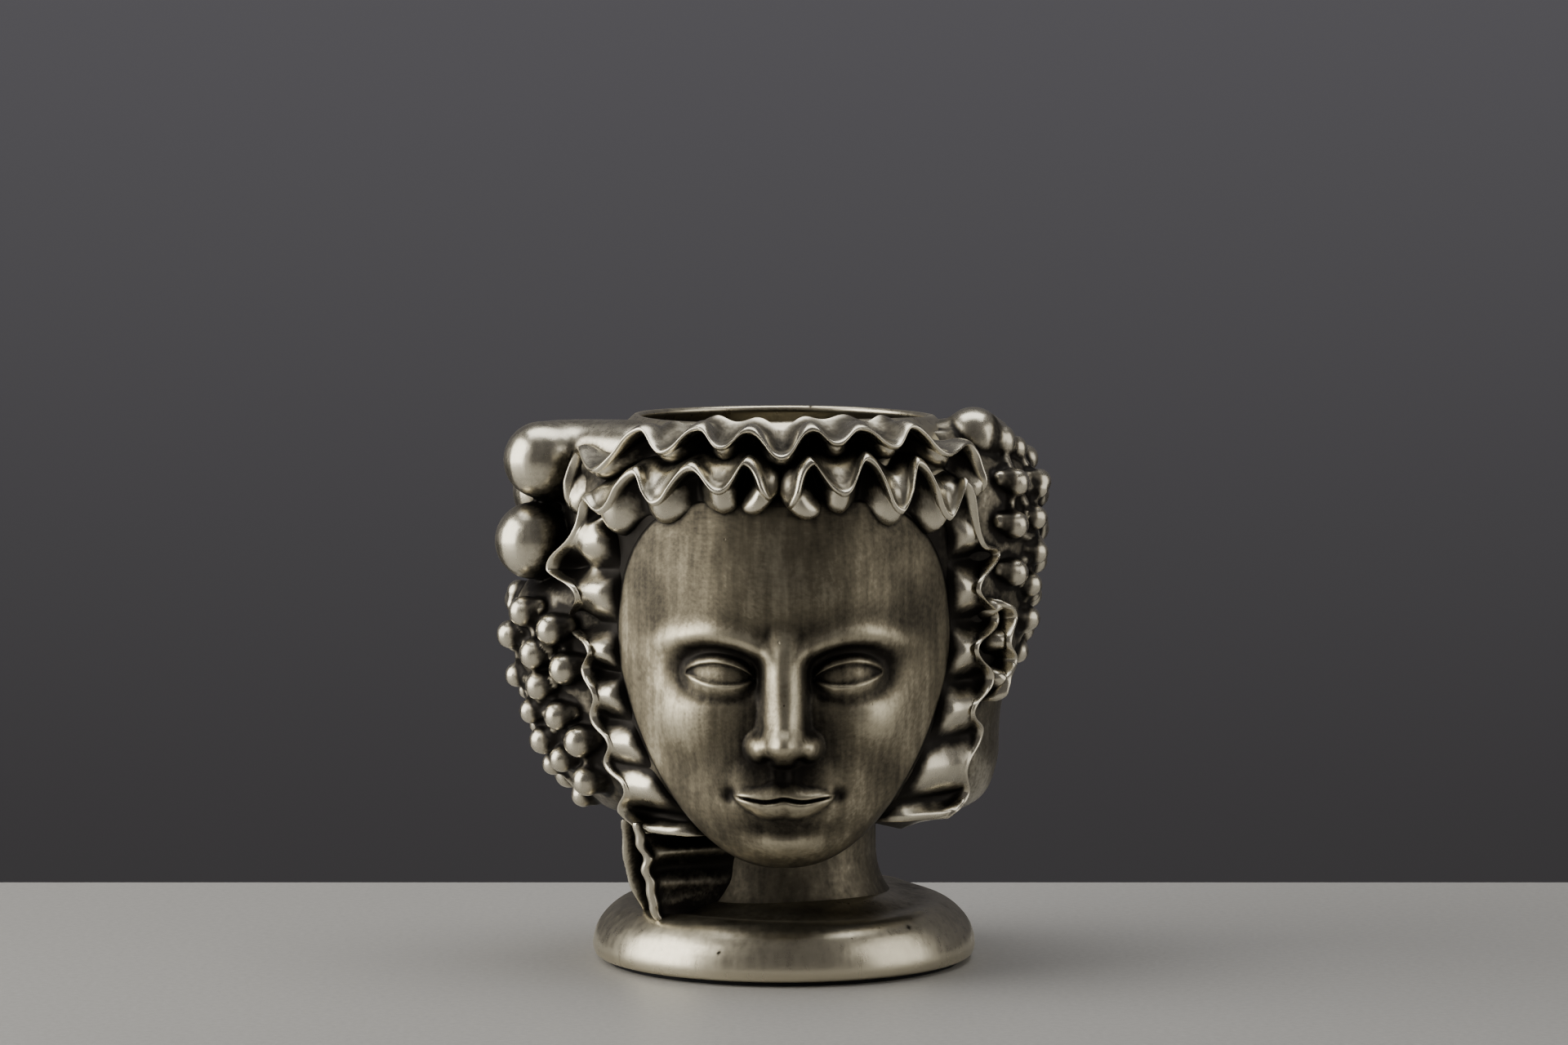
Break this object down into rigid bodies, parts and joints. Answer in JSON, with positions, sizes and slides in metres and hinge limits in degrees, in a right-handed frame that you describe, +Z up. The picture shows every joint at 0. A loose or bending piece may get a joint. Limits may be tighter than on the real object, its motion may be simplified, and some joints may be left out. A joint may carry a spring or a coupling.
{
  "type": "head vase",
  "caption": "Vase in the shape of a woman's head in antique-silvered metal, with ruffled hair, bunches of grapes and an open crown on a domed foot.",
  "frame": {"origin": "centre of the foot's underside, on the surface that the vase stands on", "axes": "+Z up through the open crown, the face looks along -Y, +X is towards the face's own left"},
  "size_m": [0.1751, 0.1518, 0.1748],
  "materials": {
    "silvered_metal": "polished relief with dark patina in the hollows",
    "antique_metal": "brushed silver plate under dark patina",
    "plate_metal": "dull",
    "felt": "matt"
  },
  "bodies": {
    "root": {"felt_pad": "felt", "base_plate": "plate_metal", "foot": "antique_metal", "neck": "antique_metal", "head_cup": "antique_metal", "face_mask": "silvered_metal", "crown_ribbon": "silvered_metal", "fringe_left": "silvered_metal", "fringe_right": "silvered_metal", "side_lock_left": "silvered_metal", "side_lock_right": "silvered_metal", "outer_lock_right": "silvered_metal", "lock_tail_left": "silvered_metal", "hair_bed_left": "antique_metal", "hair_bed_right": "antique_metal", "rear_hair": "antique_metal", "bun_left_upper": "silvered_metal", "bun_left_lower": "silvered_metal", "bun_left_rear": "silvered_metal", "bun_right": "silvered_metal", "grape_string_left_1": "silvered_metal", "grape_string_left_2": "silvered_metal", "grape_string_left_3": "silvered_metal", "grape_string_left_4": "silvered_metal", "grape_string_left_5": "silvered_metal", "grape_string_right_1": "silvered_metal", "grape_string_right_2": "silvered_metal", "grape_string_right_3": "silvered_metal", "grape_string_right_4": "silvered_metal", "grape_string_right_5": "silvered_metal"}
  },
  "joints": []
}
